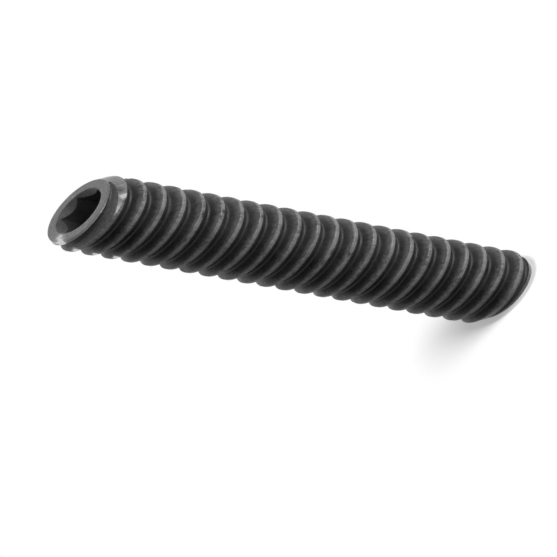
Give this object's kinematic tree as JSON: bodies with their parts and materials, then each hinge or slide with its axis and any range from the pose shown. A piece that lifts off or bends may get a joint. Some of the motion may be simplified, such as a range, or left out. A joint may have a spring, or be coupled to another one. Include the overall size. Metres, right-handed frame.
{
  "type": "hex socket set screw",
  "caption": "Headless steel set screw, coarse right-hand thread over its whole length, with a hexagonal key socket in one end and a flat chamfered point at the other.",
  "frame": {"origin": "middle of the flat point face that the screw stands on", "axes": "+Z along the screw's axis, from the point to the socket; +X towards one corner of the hexagonal socket"},
  "size_m": [0.0188, 0.0188, 0.0571],
  "materials": {
    "black_oxide_steel": "satin"
  },
  "bodies": {
    "root": {"set_screw": "black_oxide_steel"}
  },
  "joints": []
}
